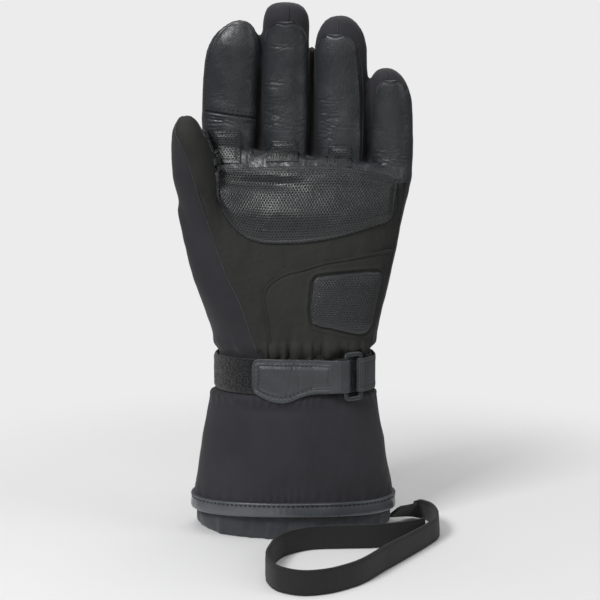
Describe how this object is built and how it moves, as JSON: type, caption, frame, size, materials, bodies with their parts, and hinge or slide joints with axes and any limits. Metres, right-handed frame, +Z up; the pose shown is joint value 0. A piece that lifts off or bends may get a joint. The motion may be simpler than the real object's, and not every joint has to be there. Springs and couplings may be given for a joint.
{
  "type": "heated glove",
  "caption": "Left-hand padded winter glove with a flared gauntlet, leather palm panels, buckled wrist strap and a wrist leash, standing upright on its cuff.",
  "frame": {"origin": "the floor under the middle of the glove's whole outline, leash included", "axes": "+Z up along the fingers, -Y out of the palm, -X to the thumb"},
  "size_m": [0.1628, 0.1724, 0.3198],
  "materials": {
    "softshell": "matte, fine plain weave",
    "lining_cloth": "matte, soft gathers",
    "smooth_leather": "smooth grain, low sheen, fine wrinkles",
    "matte_leather": "matte, suede-like",
    "grip_leather": "perforated, low sheen",
    "hem_tape": "smooth synthetic leather, low sheen",
    "pile": "fuzzy loop pile",
    "buckle_plastic": "moulded, satin to glossy",
    "webbing": "ribbed woven tape"
  },
  "bodies": {
    "root": {"hand_shell": "softshell", "gauntlet": "softshell", "inner_cuff": "lining_cloth", "hem_binding": "hem_tape", "wrist_band": "pile", "pull_tab": "smooth_leather", "buckle": "buckle_plastic", "buckle_anchor": "webbing", "index_tip_leather": "smooth_leather", "index_base_leather": "smooth_leather", "middle_leather": "smooth_leather", "ring_leather": "smooth_leather", "little_leather": "smooth_leather", "index_tab": "grip_leather", "middle_tab": "grip_leather", "ring_tab": "grip_leather", "palm_patch": "grip_leather", "thumb_leather": "matte_leather", "palm_leather": "matte_leather", "heel_panel": "matte_leather", "heel_patch": "grip_leather", "leash": "webbing"}
  },
  "joints": []
}
